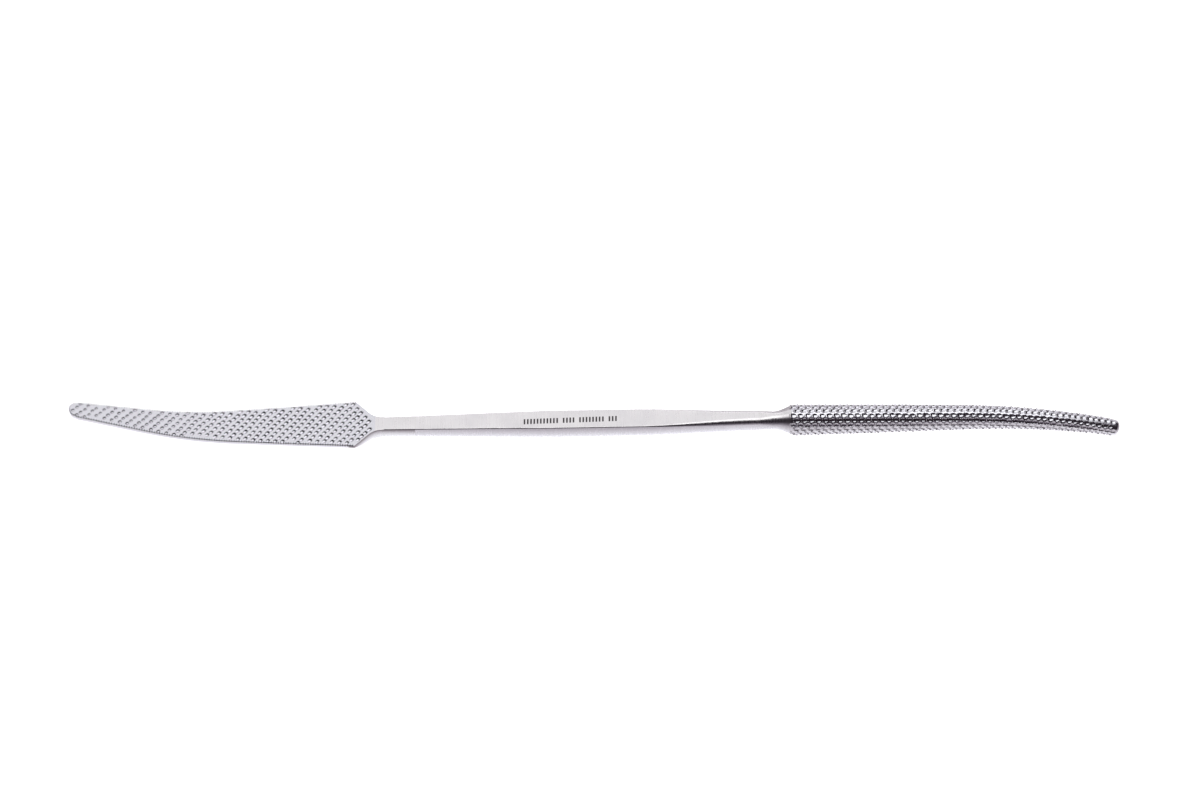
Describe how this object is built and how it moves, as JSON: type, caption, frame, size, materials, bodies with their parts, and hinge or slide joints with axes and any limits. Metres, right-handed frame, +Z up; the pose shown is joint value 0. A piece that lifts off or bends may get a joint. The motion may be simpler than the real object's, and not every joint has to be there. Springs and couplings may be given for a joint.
{
  "type": "double-ended rasp",
  "caption": "Slim steel hand rasp: a bar handle with a leaf-shaped flat rasp head that turns up at one end and a tapered round rasp head that bends down at the other.",
  "frame": {"origin": "on the surface that the rasp lies on, under the centre of its bounding box", "axes": "+Z up from the surface; +X along the rasp from the flat head's tip to the round head's tip; +Y across it, and the rasp is the same on both sides of the XZ plane. It lies on the flat head's belly and the round head's tip, so the bar rises 1.67 degrees towards +X."},
  "size_m": [0.3056, 0.0156, 0.012],
  "materials": {
    "handle_steel": "fine satin grind",
    "rasp_steel": "bead blasted, with cut teeth",
    "braze": "silver braze, ground flush"
  },
  "bodies": {
    "root": {"handle_bar": "handle_steel", "flat_rasp_head": "rasp_steel", "round_rasp_head": "rasp_steel", "flat_tang_braze": "braze", "round_tang_braze": "braze"}
  },
  "joints": []
}
